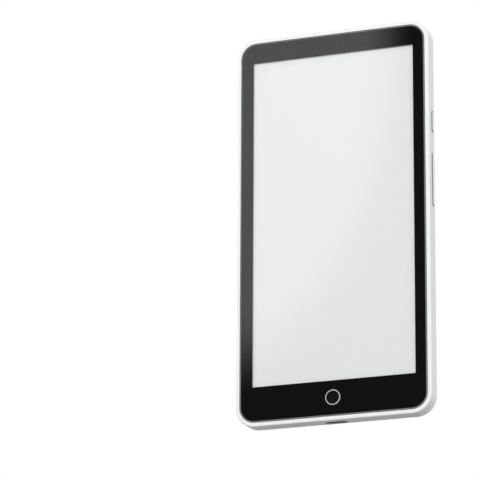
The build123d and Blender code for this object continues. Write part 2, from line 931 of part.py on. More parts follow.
def microphone_depth():
    """Depth of the microphone and of its hole in the bottom wall."""
    return board_back + microphone_thickness / 2


def microphone():
    """Microphone by its hole in the bottom wall."""
    half = microphone_width / 2
    low = sub_board_base + microphone_edge
    return on_board(microphone_offset - half, microphone_offset + half, low, low + microphone_height,
                    microphone_thickness)


def sub_board_parts():
    """Connector of the link and the charging circuit's parts on the sub-board."""
    low = sub_board_high - lower_strap_end
    pieces = [on_board(*link_strap, low, low + connector_depth, connector_height)]
    for left, right, bottom, top, height in sub_board_places:
        pieces.append(on_board(left, right, sub_board_base + bottom, sub_board_base + top, height))
    return Compound(children=pieces)


def board_link_flex():
    """Flex between the two boards, over the battery."""
    left, right = link_strap
    back = link_front + flex_thickness
    low = battery_low - link_drop
    high = battery_high + link_drop
    flex = block(left, right, connector_back, flex_back, sub_board_high - lower_strap_end, low)
    flex += block(left, right, connector_back, back, low - flex_thickness, low)
    flex += block(left, right, link_front, back, low - flex_thickness, high)
    flex += block(left, right, connector_back, back, high - flex_thickness, high)
    return flex + block(left, right, connector_back, flex_back, high - flex_thickness,
                        board_low + lower_strap_end)


# --- Write one file per piece ---------------------------------------------------------------------
PIECES = {
    "cover_glass": cover_glass,
    "border_film": border_film,
    "glass_tape": glass_tape_ring,
    "home_ring": home_ring,
    "home_button": home_button,
    "home_dome": home_dome,
    "home_flex": home_flex,
    "touch_sensor": touch_sensor,
    "touch_flex": touch_flex,
    "front_light_guide": front_light_guide,
    "front_light_leds": front_light_leds,
    "front_light_flex": front_light_flex,
    "ink_laminate": ink_laminate,
    "display_backplane": display_backplane,
    "display_driver": display_driver,
    "display_flex": display_flex,
    "display_cushion": display_cushion,
    "front_frame": front_frame,
    "threaded_inserts": threaded_inserts,
    "chassis_plate": chassis_plate,
    "rear_housing": rear_housing,
    "case_screws": case_screws,
    "panel_tape": panel_tape_sheet,
    "rear_panel": rear_panel,
    "power_button": power_button,
    "volume_rocker": volume_rocker,
    "key_domes": key_domes,
    "side_key_flex": side_key_flex,
    "side_key_bracket": side_key_bracket,
    "bracket_screws": bracket_screws,
    "battery_cell": battery_cell,
    "battery_tapes": battery_tapes,
    "protection_board": protection_board,
    "battery_lead": battery_lead,
    "main_board": main_board,
    "processor_chip": processor_chip,
    "memory_chip": memory_chip,
    "storage_chip": storage_chip,
    "power_chip": power_chip,
    "display_power_chip": display_power_chip,
    "power_coils": power_coils,
    "wireless_module": wireless_module,
    "processor_shield": processor_shield,
    "power_shield": power_shield,
    "thermal_pad": thermal_pad,
    "graphite_sheet": graphite_sheet,
    "board_connectors": board_connectors,
    "board_standoffs": board_standoffs,
    "board_screws": board_screws,
    "aerial": aerial,
    "sub_board": sub_board,
    "socket_shell": socket_shell_tube,
    "socket_tongue": socket_tongue,
    "microphone": microphone,
    "sub_board_parts": sub_board_parts,
    "board_link_flex": board_link_flex,
}

os.makedirs("parts", exist_ok=True)
for node, build in PIECES.items():
    export_step(build(), f"parts/{node}.step")
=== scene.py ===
import math

import bpy
from mathutils import Matrix, Vector


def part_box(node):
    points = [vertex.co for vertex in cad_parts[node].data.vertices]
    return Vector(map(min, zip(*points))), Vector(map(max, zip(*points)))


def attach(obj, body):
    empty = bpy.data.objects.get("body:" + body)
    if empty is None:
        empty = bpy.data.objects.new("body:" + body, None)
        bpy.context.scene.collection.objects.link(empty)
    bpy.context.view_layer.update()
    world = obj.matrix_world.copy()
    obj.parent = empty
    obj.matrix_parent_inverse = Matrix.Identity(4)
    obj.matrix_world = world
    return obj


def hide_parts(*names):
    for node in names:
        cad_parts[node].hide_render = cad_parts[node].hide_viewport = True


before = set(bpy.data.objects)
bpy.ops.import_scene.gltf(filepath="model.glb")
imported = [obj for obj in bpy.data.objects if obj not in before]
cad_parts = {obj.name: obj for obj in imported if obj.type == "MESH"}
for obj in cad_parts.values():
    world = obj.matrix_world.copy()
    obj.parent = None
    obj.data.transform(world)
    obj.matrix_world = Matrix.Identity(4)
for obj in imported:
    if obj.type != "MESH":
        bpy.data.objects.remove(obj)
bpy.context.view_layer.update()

# ---- Chassis plate and its threaded inserts -------------------------------------------------
# The plate is stamped from thin magnesium alloy sheet and bead blasted. The inserts are turned
# brass bushes, knurled outside and pressed hot into the front frame's bosses.

noise_low, noise_high = 0.3, 0.7  # most of a noise pattern's values lie between these


def new_material(name, rough, metal=0.0, **plain):
    """A material whose plain numbers sit on its shader's own sockets."""
    made = bpy.data.materials.new(name)
    made.use_nodes = True
    shader = made.node_tree.nodes["Principled BSDF"]
    shader.inputs["Roughness"].default_value = rough
    shader.inputs["Metallic"].default_value = metal
    for socket, value in plain.items():
        shader.inputs[socket.replace("_", " ")].default_value = value
    return made


def add_node(made, kind, **values):
    """A node with its plain inputs set by name."""
    node = made.node_tree.nodes.new("ShaderNode" + kind)
    for socket, value in values.items():
        node.inputs[socket.replace("_", " ")].default_value = value
    return node


def wire(made, *pairs):
    """Links each output to its input."""
    for out, into in pairs:
        made.node_tree.links.new(out, into)


def span(made, pattern, start, end, low, high):
    """A node that maps a pattern's values from start to end onto low to high."""
    node = add_node(made, "MapRange", From_Min=start, From_Max=end, To_Min=low, To_Max=high)
    wire(made, (pattern, node.inputs["Value"]))
    return node


def place(made, stretch=(1, 1, 1), turn=(0, 0, 0)):
    """Object coordinates, stretched and turned for a pattern."""
    fit = add_node(made, "Mapping", Scale=stretch, Rotation=turn)
    wire(made, (add_node(made, "TexCoord").outputs["Object"], fit.inputs["Vector"]))
    return fit.outputs["Vector"]


def grain(made, size, detail=3.0, stretch=(1, 1, 1)):
    """Soft mottling with blotches of this size in metres."""
    node = add_node(made, "TexNoise", Scale=1 / size, Detail=detail, Roughness=0.55)
    wire(made, (place(made, stretch), node.inputs["Vector"]))
    return node.outputs["Fac"]


def pebbles(made, size, stretch=(1, 1, 1)):
    """Cells of this size, as the distance from their middles."""
    node = add_node(made, "TexVoronoi", Scale=1 / size)
    wire(made, (place(made, stretch), node.inputs["Vector"]))
    return node.outputs["Distance"]


def ribs(made, size, way="Z", turn=(0, 0, 0), wobble=0.0):
    """Parallel ribs this far apart, counted along one axis."""
    node = add_node(made, "TexWave", Scale=math.pi / 10 / size, Distortion=wobble, Detail=1.0)
    node.bands_direction = way
    wire(made, (place(made, turn=turn), node.inputs["Vector"]))
    return node.outputs["Fac"]


def two_tone(made, pattern, dark, light, low=noise_low, high=noise_high):
    """Base colour that runs from dark to light with a pattern."""
    ramp = add_node(made, "ValToRGB")
    ramp.color_ramp.elements[0].position, ramp.color_ramp.elements[1].position = low, high
    ramp.color_ramp.elements[0].color = (*dark, 1)
    ramp.color_ramp.elements[1].color = (*light, 1)
    shader = made.node_tree.nodes["Principled BSDF"]
    wire(made, (pattern, ramp.inputs["Fac"]), (ramp.outputs["Color"], shader.inputs["Base Color"]))
    return ramp


def polish(made, pattern, low, high):
    """Roughness that runs from low to high with a pattern."""
    level = span(made, pattern, noise_low, noise_high, low, high)
    shader = made.node_tree.nodes["Principled BSDF"]
    wire(made, (level.outputs["Result"], shader.inputs["Roughness"]))


def relief(made, pattern, depth):
    """Fine relief of this depth in metres."""
    bump = add_node(made, "Bump", Distance=depth, Strength=1.0)
    shader = made.node_tree.nodes["Principled BSDF"]
    wire(made, (pattern, bump.inputs["Height"]), (bump.outputs["Normal"], shader.inputs["Normal"]))


def cover(made, *names):
    """Puts a material on every slot of these frame nodes."""
    for name in names:
        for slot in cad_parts[name].material_slots:
            slot.material = made


blasted_alloy = new_material("blasted_alloy", 0.45, 1.0)
two_tone(blasted_alloy, grain(blasted_alloy, 0.007), (0.40, 0.41, 0.42), (0.52, 0.53, 0.54))
polish(blasted_alloy, grain(blasted_alloy, 0.002), 0.38, 0.55)
relief(blasted_alloy, pebbles(blasted_alloy, 0.00018), 0.000010)
cover(blasted_alloy, "chassis_plate")

turned_brass = new_material("turned_brass", 0.28, 1.0)
two_tone(turned_brass, grain(turned_brass, 0.0008), (0.55, 0.38, 0.14), (0.78, 0.58, 0.26))
polish(turned_brass, grain(turned_brass, 0.0003), 0.2, 0.38)
relief(turned_brass, ribs(turned_brass, 0.00035, "DIAGONAL"), 0.00004)
cover(turned_brass, "threaded_inserts", "board_standoffs")

# ---- Display stack --------------------------------------------------------------------------
# An electronic paper laminate of tiny pigment capsules, bonded to a glass backplane with its
# driver chip and tail. A foam cushion holds the stack up against the front frame.

paper_capsules = new_material("paper_capsules", 0.9, Specular_IOR_Level=0.05)
capsule_cells = grain(paper_capsules, 0.0009)
two_tone(paper_capsules, capsule_cells, (0.855, 0.858, 0.860), (0.875, 0.877, 0.880))
polish(paper_capsules, grain(paper_capsules, 0.003), 0.85, 0.95)
relief(paper_capsules, capsule_cells, 0.000002)
cover(paper_capsules, "ink_laminate")

backplane_glass = new_material("backplane_glass", 0.12)
circuit_pitch = 0.00017
circuit_columns = ribs(backplane_glass, circuit_pitch, "X")
two_tone(backplane_glass, circuit_columns, (0.10, 0.12, 0.13), (0.17, 0.19, 0.20), 0.4, 0.6)
polish(backplane_glass, grain(backplane_glass, 0.004), 0.08, 0.2)
relief(backplane_glass, ribs(backplane_glass, circuit_pitch, "Z"), 0.000002)
cover(backplane_glass, "display_backplane")

moulded_chip = new_material("moulded_chip", 0.5)
chip_grit = grain(moulded_chip, 0.00008, 5.0)
two_tone(moulded_chip, chip_grit, (0.012, 0.012, 0.013), (0.030, 0.030, 0.032))
polish(moulded_chip, grain(moulded_chip, 0.0006), 0.42, 0.62)
relief(moulded_chip, chip_grit, 0.000006)
cover(moulded_chip, "display_driver", "processor_chip", "memory_chip", "storage_chip")
cover(moulded_chip, "power_chip", "display_power_chip", "sub_board_parts", "socket_tongue")

amber_film = new_material("amber_film", 0.35)
film_traces = ribs(amber_film, 0.0005, "X")
two_tone(amber_film, film_traces, (0.36, 0.16, 0.03), (0.62, 0.34, 0.09), 0.35, 0.65)
polish(amber_film, grain(amber_film, 0.001), 0.25, 0.45)
relief(amber_film, film_traces, 0.000012)
cover(amber_film, "display_flex", "touch_flex", "front_light_flex", "home_flex", "side_key_flex")
cover(amber_film, "battery_lead", "board_link_flex", "aerial")

soft_foam = new_material("soft_foam", 0.95)
foam_cells = pebbles(soft_foam, 0.00035)
two_tone(soft_foam, foam_cells, (0.035, 0.036, 0.038), (0.075, 0.077, 0.080), 0.1, 0.8)
polish(soft_foam, foam_cells, 0.85, 1.0)
relief(soft_foam, foam_cells, 0.00008)
cover(soft_foam, "display_cushion")

# ---- Light guide, its lamps and the touch sensor --------------------------------------------
# Two clear films bonded over the laminate: the guide carries moulded dots that turn the light
# of a row of small lamps onto the page, and the sensor carries a fine grid of clear electrodes.


def clear_layer(name, tint, clouded):
    """A see-through film, with the share of haze left for a pattern to say."""
    made = new_material(name, 0.6, Base_Color=(*clouded, 1))
    through = add_node(made, "BsdfTransparent", Color=(*tint, 1))
    both = add_node(made, "MixShader")
    nodes = made.node_tree.nodes
    wire(
        made,
        (through.outputs["BSDF"], both.inputs[1]),
        (nodes["Principled BSDF"].outputs["BSDF"], both.inputs[2]),
        (both.outputs["Shader"], nodes["Material Output"].inputs["Surface"]),
    )
    return made, both


MM = 0.001
film_hair = 0.01 * MM
film_corner = 0.6 * MM
film_rim = 0.25 * MM


def add_piece(name, primitive, **at):
    """Starts a piece from a primitive at its place, with nothing else selected."""
    bpy.ops.object.select_all(action="DESELECT")
    primitive(**at)
    piece = bpy.context.object
    piece.name = piece.data.name = name
    bpy.ops.object.transform_apply(location=True, rotation=True, scale=True)
    return piece


def pick(piece, kind, test):
    """Goes into edit mode with the corners, edges or faces selected that pass a test."""
    if bpy.context.mode != "OBJECT":
        bpy.ops.object.mode_set(mode="OBJECT")
    bpy.context.tool_settings.mesh_select_mode = [kind == k for k in ("VERT", "EDGE", "FACE")]
    mesh = piece.data
    for parts in (mesh.vertices, mesh.edges, mesh.polygons):
        parts.foreach_set("select", [False] * len(parts))
    at = [v.co for v in mesh.vertices]
    if kind == "VERT":
        mesh.vertices.foreach_set("select", [bool(test(p)) for p in at])
    elif kind == "EDGE":
        picked = [bool(test(at[e.vertices[0]], at[e.vertices[1]])) for e in mesh.edges]
        mesh.edges.foreach_set("select", picked)
    else:
        mesh.polygons.foreach_set("select", [bool(test(p.center, p.normal)) for p in mesh.polygons])
    bpy.ops.object.mode_set(mode="EDIT")


def clear_sheet(name, node, made):
    """A film a hair smaller all round than its node, with rounded corners and a burred edge."""
    low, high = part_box(node)
    sheet = add_piece(
        name,
        bpy.ops.mesh.primitive_cube_add,
        size=1,
        location=(low + high) / 2,
        scale=high - low - 2 * Vector((film_hair, film_hair, film_hair)),
    )
    pick(sheet, "EDGE", lambda a, b: a.x == b.x and a.z == b.z)
    bpy.ops.mesh.bevel(offset=film_corner, segments=4, affect="EDGES")
    pick(sheet, "FACE", lambda c, n: n.y < -0.9)
    bpy.ops.mesh.inset(thickness=film_rim)
    bpy.ops.transform.translate(value=(0, film_hair, 0))
    bpy.ops.object.mode_set(mode="OBJECT")
    sheet.data.materials.append(made)
    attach(sheet, "reader")
    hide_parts(node)


dotted_guide, guide_haze = clear_layer("dotted_guide", (0.995, 0.995, 0.995), (0.8, 0.8, 0.8))
guide_dots = pebbles(dotted_guide, 0.0007)
guide_share = span(dotted_guide, guide_dots, noise_low, noise_high, 0.002, 0.0)
wire(dotted_guide, (guide_share.outputs["Result"], guide_haze.inputs["Fac"]))
clear_sheet("light_guide_sheet", "front_light_guide", dotted_guide)

sensor_film, sensor_haze = clear_layer("sensor_film", (0.99, 0.992, 0.99), (0.5, 0.52, 0.52))
sensor_grid = ribs(sensor_film, 0.0042, "X")
sensor_share = span(sensor_film, sensor_grid, noise_low, noise_high, 0.0, 0.002)
wire(sensor_film, (sensor_share.outputs["Result"], sensor_haze.inputs["Fac"]))
clear_sheet("touch_film", "touch_sensor", sensor_film)

lamp_face = new_material("lamp_face", 0.3)
two_tone(lamp_face, grain(lamp_face, 0.0005), (0.82, 0.80, 0.62), (0.90, 0.89, 0.80))
polish(lamp_face, grain(lamp_face, 0.0002), 0.22, 0.4)
relief(lamp_face, grain(lamp_face, 0.0002), 0.000005)
cover(lamp_face, "front_light_leds")

# ---- Front frame and rear housing -----------------------------------------------------------
# Two injection mouldings in white polycarbonate that meet in a fine parting line round the
# side. The mould is lightly blasted, so the skin is satin with a very fine grain.

white_moulding = new_material("white_moulding", 0.4, Coat_Weight=0.08, Coat_Roughness=0.3)
skin_grain = grain(white_moulding, 0.00022, 4.0)
two_tone(white_moulding, grain(white_moulding, 0.012), (0.835, 0.840, 0.845), (0.865, 0.868, 0.870))
polish(white_moulding, skin_grain, 0.36, 0.5)
relief(white_moulding, skin_grain, 0.000004)
cover(white_moulding, "front_frame", "rear_housing")

# ---- Cover glass, its border film and bonding tape ------------------------------------------
# A flat pane of toughened glass with a softened edge, printed black behind its border. A frame
# of thin black tape bonds it into the front frame.

pane = bpy.data.materials.new("pane")
pane.use_nodes = True
pane.node_tree.nodes.remove(pane.node_tree.nodes["Principled BSDF"])
pane_through = add_node(pane, "BsdfTransparent", Color=(0.99, 0.99, 0.99, 1))
pane_gloss = add_node(pane, "BsdfAnisotropic", Color=(1, 1, 1, 1))
pane_gloss.distribution = "GGX"
# The rounded rim and the edge turn light grey: frosting where the edge is ground, and a painted
# highlight along the rim.
pane_frost_and_highlight = add_node(pane, "BsdfDiffuse", Color=(0.27, 0.275, 0.275, 1))
pane_both, pane_rim = add_node(pane, "MixShader"), add_node(pane, "MixShader")
pane_mirror = add_node(pane, "Fresnel", IOR=1.5)
pane_side = add_node(pane, "NewGeometry")
pane_front, pane_share, pane_lean = (add_node(pane, "Math") for _ in range(3))
pane_front.operation, pane_share.operation = "SUBTRACT", "MULTIPLY"
pane_front.inputs[0].default_value = 1.0
pane_lean.operation = "ABSOLUTE"
pane_facing = add_node(pane, "SeparateXYZ")
pane_edge = span(pane, pane_lean.outputs["Value"], 0.998, 0.93, 0.0, 0.85)
pane_wipe = span(pane, grain(pane, 0.02, 2.0, (1, 1, 0.4)), 0.35, 0.75, 0.02, 0.05)
wire(
    pane,
    (pane_side.outputs["Backfacing"], pane_front.inputs[1]),
    (pane_front.outputs["Value"], pane_share.inputs[0]),
    (pane_mirror.outputs["Fac"], pane_share.inputs[1]),
    (pane_share.outputs["Value"], pane_both.inputs["Fac"]),
    (pane_through.outputs["BSDF"], pane_both.inputs[1]),
    (pane_gloss.outputs["BSDF"], pane_both.inputs[2]),
    (pane_wipe.outputs["Result"], pane_gloss.inputs["Roughness"]),
    (add_node(pane, "TexCoord").outputs["Normal"], pane_facing.inputs["Vector"]),
    (pane_facing.outputs["Y"], pane_lean.inputs[0]),
    (pane_edge.outputs["Result"], pane_rim.inputs["Fac"]),
    (pane_both.outputs["Shader"], pane_rim.inputs[1]),
    (pane_frost_and_highlight.outputs["BSDF"], pane_rim.inputs[2]),
    (pane_rim.outputs["Shader"], pane.node_tree.nodes["Material Output"].inputs["Surface"]),
)

pane_low, pane_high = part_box("cover_glass")
pane_high.y -= film_hair
pane_corner = 6.25 * MM
pane_round = 0.55 * MM
bore_slack = 0.005 * MM
home_low, home_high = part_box("home_ring")
pane_sheet = add_piece(
    "cover_pane",
    bpy.ops.mesh.primitive_cube_add,
    size=1,
    location=(pane_low + pane_high) / 2,
    scale=pane_high - pane_low,
)
pick(pane_sheet, "EDGE", lambda a, b: abs(a.y - b.y) > 0.1 * MM)
bpy.ops.mesh.bevel(offset=pane_corner, segments=16, affect="EDGES")
pick(pane_sheet, "EDGE", lambda a, b: max(a.y, b.y) < pane_low.y + 0.01 * MM)
bpy.ops.mesh.bevel(offset=pane_round, segments=4, affect="EDGES")
bpy.ops.object.mode_set(mode="OBJECT")
bore = add_piece(
    "bore",
    bpy.ops.mesh.primitive_cylinder_add,
    vertices=96,
    radius=(home_high.x - home_low.x) / 2 + bore_slack,
    depth=4 * MM,
    location=((home_low.x + home_high.x) / 2, pane_low.y, (home_low.z + home_high.z) / 2),
    rotation=(math.pi / 2, 0, 0),
)
bpy.context.view_layer.objects.active = pane_sheet
drill = pane_sheet.modifiers.new("drill", "BOOLEAN")
drill.object = bore
drill.operation = "DIFFERENCE"
bpy.ops.object.modifier_apply(modifier=drill.name)
bpy.data.objects.remove(bore)
bpy.ops.object.select_all(action="DESELECT")
pane_sheet.select_set(True)
bpy.ops.object.shade_smooth_by_angle(angle=math.radians(30))
pick(pane_sheet, "FACE", lambda c, n: abs(n.y) > 0.999)
bpy.ops.mesh.faces_shade_flat()
bpy.ops.object.mode_set(mode="OBJECT")
pane_sheet.data.materials.clear()
pane_sheet.data.materials.append(pane)
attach(pane_sheet, "reader")
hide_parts("cover_glass")

black_print = new_material("black_print", 0.55, Specular_IOR_Level=0.0)
print_dots = grain(black_print, 0.0008, 4.0)
two_tone(black_print, print_dots, (0.0022, 0.0022, 0.0024), (0.0040, 0.0040, 0.0043))
polish(black_print, grain(black_print, 0.001), 0.5, 0.65)
relief(black_print, print_dots, 0.000002)
cover(black_print, "border_film")

bonding_tape = new_material("bonding_tape", 0.75)
tape_fibres = grain(bonding_tape, 0.0004, 4.0, (1, 1, 5))
two_tone(bonding_tape, tape_fibres, (0.02, 0.02, 0.021), (0.05, 0.05, 0.052))
polish(bonding_tape, tape_fibres, 0.65, 0.85)
relief(bonding_tape, tape_fibres, 0.00001)
cover(bonding_tape, "glass_tape", "panel_tape", "battery_tapes")

# ---- Home key -------------------------------------------------------------------------------
# A gloss black cap in a thin bright ring, pressed from anodised aluminium, that sits in the
# glass. Behind it a steel dome on a film circuit gives the click.

gloss_cap = new_material("gloss_cap", 0.06, Coat_Weight=0.4, Coat_Roughness=0.04)
two_tone(gloss_cap, grain(gloss_cap, 0.002), (0.003, 0.003, 0.0032), (0.005, 0.005, 0.0053))
polish(gloss_cap, grain(gloss_cap, 0.0015), 0.04, 0.09)
relief(gloss_cap, grain(gloss_cap, 0.0012), 0.000001)
cover(gloss_cap, "home_button")

bright_ring = new_material("bright_ring", 0.3, 0.6)
ring_turning = grain(bright_ring, 0.0002, 3.0)
two_tone(bright_ring, ring_turning, (0.72, 0.73, 0.74), (0.86, 0.87, 0.88))
polish(bright_ring, ring_turning, 0.25, 0.4)
relief(bright_ring, ring_turning, 0.000003)
cover(bright_ring, "home_ring")

rolled_steel = new_material("rolled_steel", 0.3, 1.0)
roll_lines = grain(rolled_steel, 0.0004, 4.0, (1, 1, 0.06))
two_tone(rolled_steel, roll_lines, (0.50, 0.50, 0.49), (0.66, 0.66, 0.65))
polish(rolled_steel, roll_lines, 0.22, 0.4)
relief(rolled_steel, roll_lines, 0.000004)
cover(rolled_steel, "home_dome", "key_domes", "side_key_bracket", "wireless_module")
cover(rolled_steel, "processor_shield", "power_shield", "socket_shell", "microphone")

# ---- Main board -----------------------------------------------------------------------------
# A green glass-fibre board with copper tracks under the lacquer. It carries the processor,
# memory, storage and power chips, coils, the wireless module and the ivory connectors.

board_lacquer = new_material("board_lacquer", 0.3, Coat_Weight=0.3, Coat_Roughness=0.15)
board_tracks = ribs(board_lacquer, 0.0006, "X", (0, 0.785, 0), 3.0)
two_tone(board_lacquer, board_tracks, (0.006, 0.065, 0.028), (0.016, 0.130, 0.055), 0.45, 0.55)
polish(board_lacquer, grain(board_lacquer, 0.001), 0.22, 0.4)
relief(board_lacquer, board_tracks, 0.000015)
cover(board_lacquer, "main_board", "sub_board", "protection_board")

coil_ferrite = new_material("coil_ferrite", 0.6)
ferrite_grit = grain(coil_ferrite, 0.00012, 5.0)
two_tone(coil_ferrite, ferrite_grit, (0.09, 0.09, 0.095), (0.19, 0.19, 0.20))
polish(coil_ferrite, ferrite_grit, 0.5, 0.75)
relief(coil_ferrite, ferrite_grit, 0.00001)
cover(coil_ferrite, "power_coils")

ivory_nylon = new_material("ivory_nylon", 0.45)
two_tone(ivory_nylon, grain(ivory_nylon, 0.0008), (0.70, 0.66, 0.54), (0.80, 0.77, 0.66))
polish(ivory_nylon, grain(ivory_nylon, 0.0003), 0.38, 0.55)
relief(ivory_nylon, grain(ivory_nylon, 0.00012), 0.000004)
cover(ivory_nylon, "board_connectors")

black_screw = new_material("black_screw", 0.35, 1.0)
two_tone(black_screw, grain(black_screw, 0.0004), (0.05, 0.05, 0.055), (0.13, 0.13, 0.14))
polish(black_screw, grain(black_screw, 0.0002), 0.28, 0.48)
relief(black_screw, ribs(black_screw, 0.00025, "Y"), 0.00001)
cover(black_screw, "case_screws", "bracket_screws", "board_screws")

gap_putty = new_material("gap_putty", 0.8)
two_tone(gap_putty, grain(gap_putty, 0.0006), (0.35, 0.38, 0.44), (0.46, 0.49, 0.55))
polish(gap_putty, grain(gap_putty, 0.0003), 0.7, 0.9)
relief(gap_putty, grain(gap_putty, 0.0004), 0.00003)
cover(gap_putty, "thermal_pad")

graphite_skin = new_material("graphite_skin", 0.4, 0.4)
graphite_flakes = pebbles(graphite_skin, 0.0004, stretch=(1, 1, 0.6))
two_tone(graphite_skin, graphite_flakes, (0.03, 0.03, 0.033), (0.09, 0.09, 0.095), 0.1, 0.8)
polish(graphite_skin, graphite_flakes, 0.3, 0.55)
relief(graphite_skin, graphite_flakes, 0.000008)
cover(graphite_skin, "graphite_sheet")

# ---- Battery --------------------------------------------------------------------------------
# A flat lithium polymer pouch. Its skin is aluminium foil with a nylon face, drawn over the
# cell, so it is faintly crinkled.

pouch_foil = new_material("pouch_foil", 0.32, 0.8)
foil_creases = grain(pouch_foil, 0.004, 6.0)
two_tone(pouch_foil, foil_creases, (0.52, 0.53, 0.55), (0.68, 0.69, 0.70))
polish(pouch_foil, grain(pouch_foil, 0.0015), 0.25, 0.42)
relief(pouch_foil, foil_creases, 0.00008)
cover(pouch_foil, "battery_cell")

# ---- Side keys ------------------------------------------------------------------------------
# Two caps that stand just proud of the side: a short power key and a long volume rocker. Each
# cap's sides are painted grey as shade, so they show as a thin dark outline round a white top.

key_moulding = new_material("key_moulding", 0.34, Coat_Weight=0.12, Coat_Roughness=0.2)
key_grain = grain(key_moulding, 0.00016, 4.0)
key_blotches = grain(key_moulding, 0.004)
key_top = two_tone(key_moulding, key_blotches, (0.900, 0.903, 0.905), (0.930, 0.932, 0.933))
# Painted shade: the faces that turn away from the side, the cap's edges, are coloured grey.
key_facing = add_node(key_moulding, "SeparateXYZ")
key_side_shade_mask = span(key_moulding, key_facing.outputs["X"], 0.35, 0.75, 1.0, 0.0)
key_painted_shade = add_node(key_moulding, "MixRGB", Color2=(0.27, 0.275, 0.28, 1))
key_shader = key_moulding.node_tree.nodes["Principled BSDF"]
wire(
    key_moulding,
    (add_node(key_moulding, "TexCoord").outputs["Normal"], key_facing.inputs["Vector"]),
    (key_side_shade_mask.outputs["Result"], key_painted_shade.inputs["Fac"]),
    (key_top.outputs["Color"], key_painted_shade.inputs["Color1"]),
    (key_painted_shade.outputs["Color"], key_shader.inputs["Base Color"]),
)
polish(key_moulding, key_grain, 0.3, 0.42)
relief(key_moulding, key_grain, 0.000003)
cover(key_moulding, "power_button", "volume_rocker")

# ---- Rear panel -----------------------------------------------------------------------------
# A thin moulded panel bonded into the rear housing. Its face is embossed like a twill weave:
# short slanted dimples in lines that run down the panel, with fainter ones between the lines.

panel_low, panel_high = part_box("rear_panel")
panel_corner = 5.65 * MM
panel_margin = 0.9 * MM
panel_pocket = 0.42 * MM
panel_rim = 0.8 * MM
panel_edge_round = 0.18 * MM
cell_wide, cell_high = 1.27 * MM, 1.10 * MM
weave_columns, weave_rows = 15, 36
weave_sink = 0.13 * MM
weave_border = 0.05 * MM
ridge_height = 0.11 * MM
weave_gap = 0.03 * MM
skirt_depth = 0.355 * MM
near = 0.01 * MM

panel_mid = (panel_low + panel_high) / 2
panel_size = panel_high - panel_low


def on_panel_edge(a, b):
    """An edge of the outer face's outline, on a straight side or round a corner."""
    if min(a.y, b.y) < panel_high.y - near:
        return False
    half_x, half_z = panel_size.x / 2, panel_size.z / 2
    for p in (a, b):
        x, z = abs(p.x - panel_mid.x), abs(p.z - panel_mid.z)
        past_x, past_z = x - (half_x - panel_corner), z - (half_z - panel_corner)
        in_corner = past_x > 0 and past_z > 0
        rounded = in_corner and math.hypot(past_x, past_z) > panel_corner - panel_rim
        if not (x > half_x - panel_rim or z > half_z - panel_rim or rounded):
            return False
    return True


panel = add_piece(
    "embossed_back_panel",
    bpy.ops.mesh.primitive_cube_add,
    size=1,
    location=panel_mid,
    scale=panel_size,
)
pick(panel, "EDGE", lambda a, b: abs(a.y - b.y) > 0.1 * MM)
bpy.ops.mesh.bevel(offset=panel_corner, segments=12, affect="EDGES")
pick(panel, "FACE", lambda c, n: n.y > 0.9)
bpy.ops.mesh.inset(thickness=panel_margin)
bpy.ops.mesh.extrude_region_move(TRANSFORM_OT_translate={"value": (0, -panel_pocket, 0)})
pick(panel, "EDGE", on_panel_edge)
bpy.ops.mesh.bevel(offset=panel_edge_round, segments=3, affect="EDGES")
bpy.ops.object.mode_set(mode="OBJECT")

# The weave is one repeat of four by four threads, arrayed over the panel and trimmed to its
# margin. A dimple is a kite in one cell of the repeat, pulled long on the slant and sunk.
weave_wide, weave_high = 4 * cell_wide, 4 * cell_high
weave_level = panel_high.y - weave_sink
first_x = panel_mid.x - weave_columns * weave_wide / 2
first_z = panel_mid.z - weave_rows * weave_high / 2
repeat_mid = (first_x + weave_wide / 2, weave_level, first_z + weave_high / 2)
weave = add_piece(
    "weave",
    bpy.ops.mesh.primitive_grid_add,
    x_subdivisions=4,
    y_subdivisions=4,
    size=1,
    location=repeat_mid,
    rotation=(-math.pi / 2, 0, 0),
)
bpy.ops.object.mode_set(mode="EDIT")
bpy.ops.mesh.select_all(action="SELECT")
bpy.ops.transform.resize(value=(weave_wide, 1, weave_high), center_override=repeat_mid)


def cell_of(p):
    """Which cell of the repeat a point lies in, and how far from that cell's middle."""
    column, row = (p.x - first_x) / cell_wide, (p.z - first_z) / cell_high
    i, j = math.floor(column + 1e-4), math.floor(row + 1e-4)
    return i, j, (column - i - 0.5) * cell_wide, (row - j - 0.5) * cell_high


def sink_dimples(step, tips, waist, slope, depth):
    """Sinks a slanted dimple in each cell that lies this many rows off the repeat's diagonal."""

    def mine(p):
        i, j, _, _ = cell_of(p)
        return (j - i) % 4 == step

    pick(weave, "FACE", lambda c, n: mine(c))
    bpy.ops.mesh.inset(thickness=weave_border, use_individual=True)
    half_wide, half_high = cell_wide / 2 - weave_border, cell_high / 2 - weave_border
    for x_way, z_way in ((-1, 1), (1, -1), (1, 1), (-1, -1)):
        goal = tips if x_way * z_way < 0 else waist

        def corner(p):
            _, _, dx, dz = cell_of(p)
            off = max(abs(dx - x_way * half_wide), abs(dz - z_way * half_high))
            return mine(p) and off < near

        pick(weave, "VERT", corner)
        move = (x_way * (goal[0] - half_wide), 0, z_way * (goal[1] - half_high))
        bpy.ops.transform.translate(value=move)
    pick(weave, "FACE", lambda c, n: mine(c) and max(map(abs, cell_of(c)[2:])) < near)
    bpy.ops.mesh.inset(thickness=slope, depth=-depth, use_individual=True)


sink_dimples(0, (0.57 * MM, 0.38 * MM), (0.20 * MM, 0.34 * MM), 0.11 * MM, 0.26 * MM)
sink_dimples(2, (0.52 * MM, 0.34 * MM), (0.18 * MM, 0.29 * MM), 0.12 * MM, 0.11 * MM)


def on_ridge(p):
    """Corners of cells between two lines of dimples, where the threads stand up."""
    column, row = (p.x - first_x) / cell_wide, (p.z - first_z) / cell_high
    square = abs(column - round(column)) < 0.01 and abs(row - round(row)) < 0.01
    return square and (round(row) - round(column)) % 4 in (2, 3)


